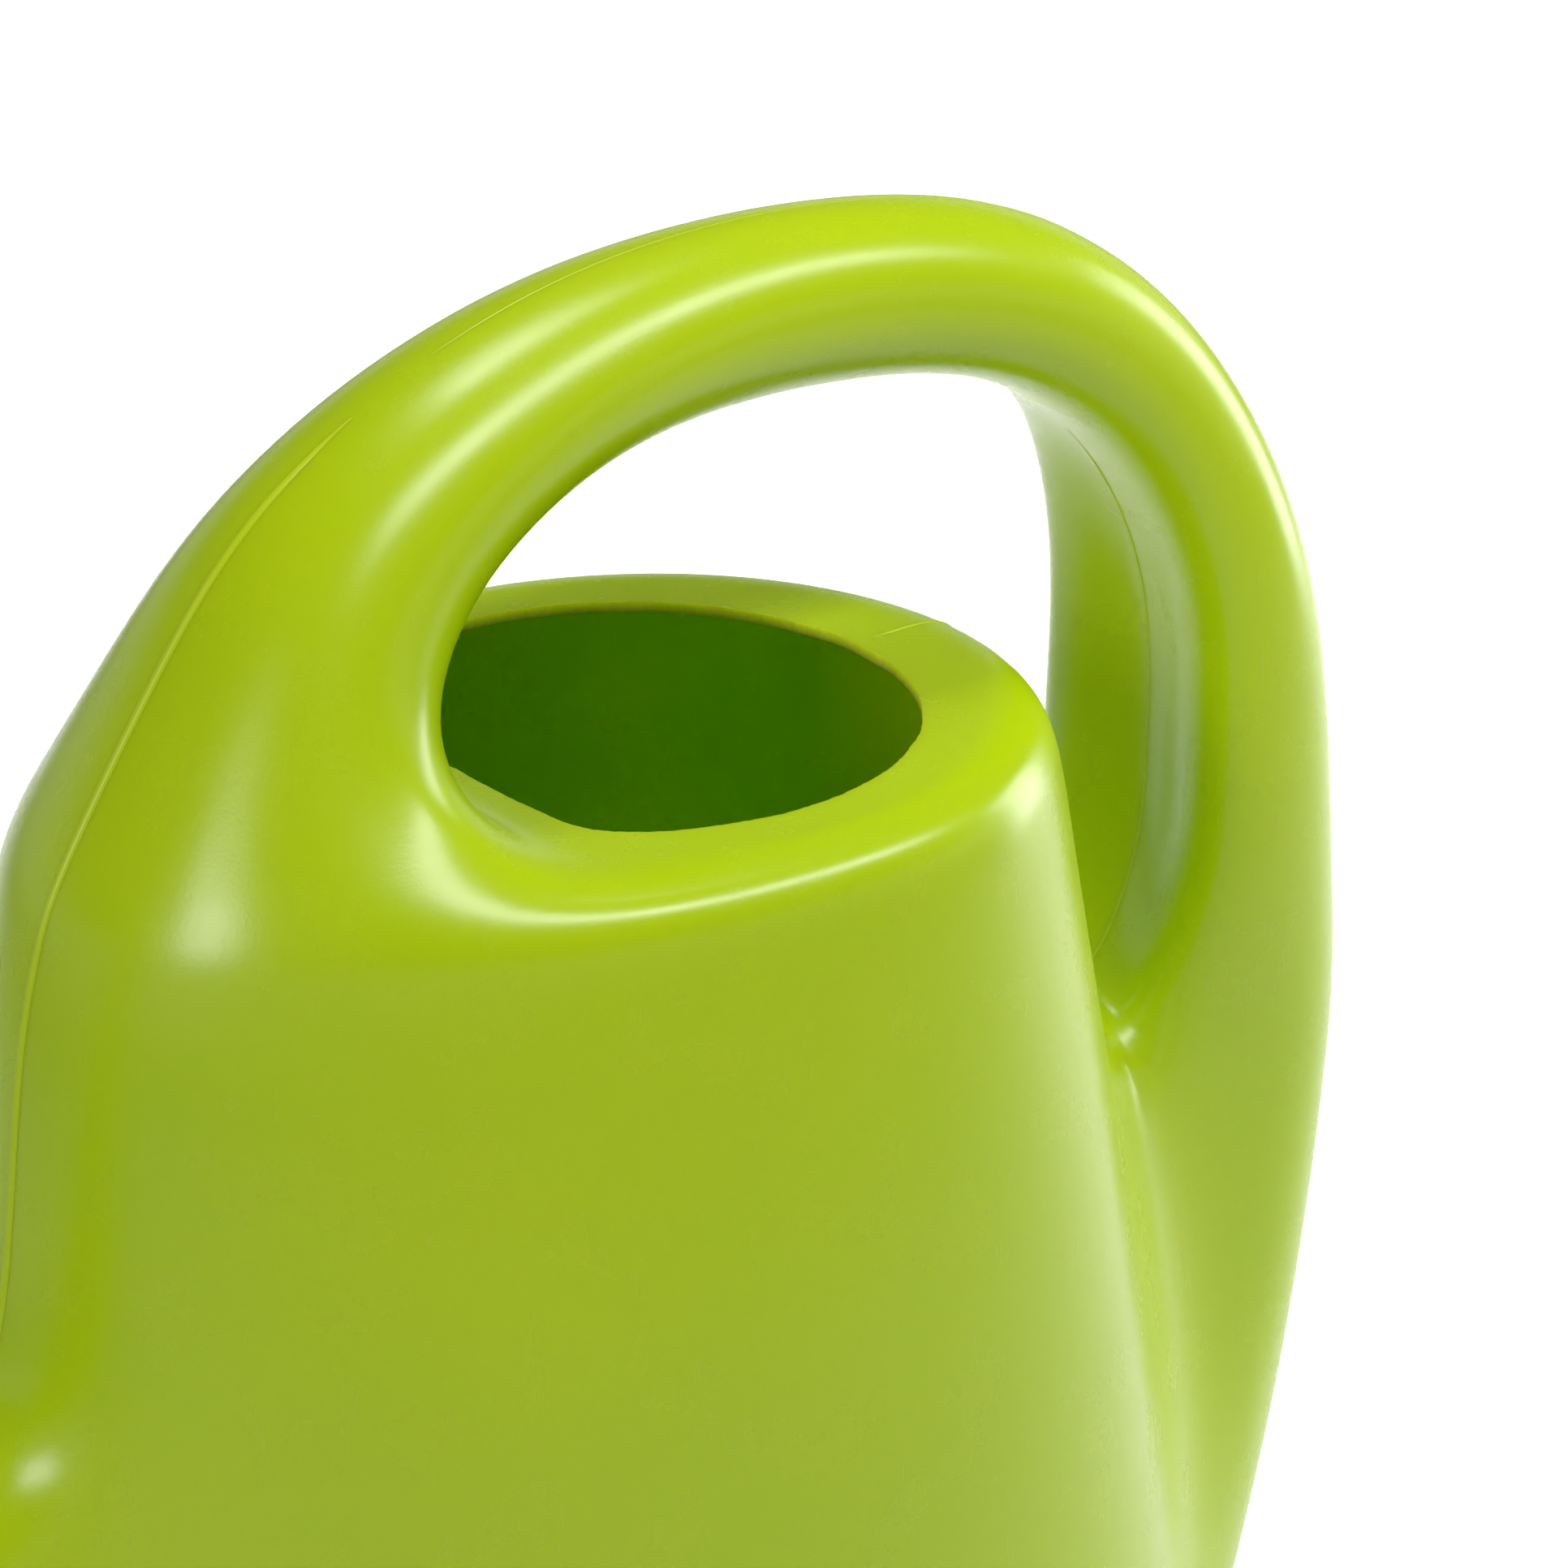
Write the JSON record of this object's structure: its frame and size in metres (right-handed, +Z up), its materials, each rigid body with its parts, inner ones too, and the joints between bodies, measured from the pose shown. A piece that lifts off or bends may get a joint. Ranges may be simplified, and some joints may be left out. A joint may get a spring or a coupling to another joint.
{
  "type": "watering can",
  "caption": "Blow-moulded garden watering can with a loop handle over a round filler mouth, a hand slot at the back, and a rose that turns and pulls off.",
  "frame": {"origin": "on the ground, under the axis of the round filler mouth, on the flat foot of the can", "axes": "+Z up, spout towards -X, handle towards +X, symmetric across Y = 0"},
  "size_m": [0.5488, 0.1874, 0.3667],
  "materials": {
    "can_body": "satin blow-moulded polyethylene, lime green",
    "rose": "satin injection-moulded plastic, lime green",
    "seal": "matt black rubber"
  },
  "bodies": {
    "can": {"body_shell": "can_body"},
    "seal": {"rose_seal": "seal"},
    "rose": {"rose_funnel": "rose", "rose_face": "rose"}
  },
  "joints": [
    {"name": "rose_pull_off", "type": "slide", "parent": "can", "child": "seal", "axis": [-0.6428, 0, 0.766], "range_m": [0, 0.04]},
    {"name": "rose_turn", "type": "hinge", "parent": "seal", "child": "rose", "pos_m": [-0.318, 0, 0.303], "axis": [-0.6428, 0, 0.766], "continuous": true}
  ]
}
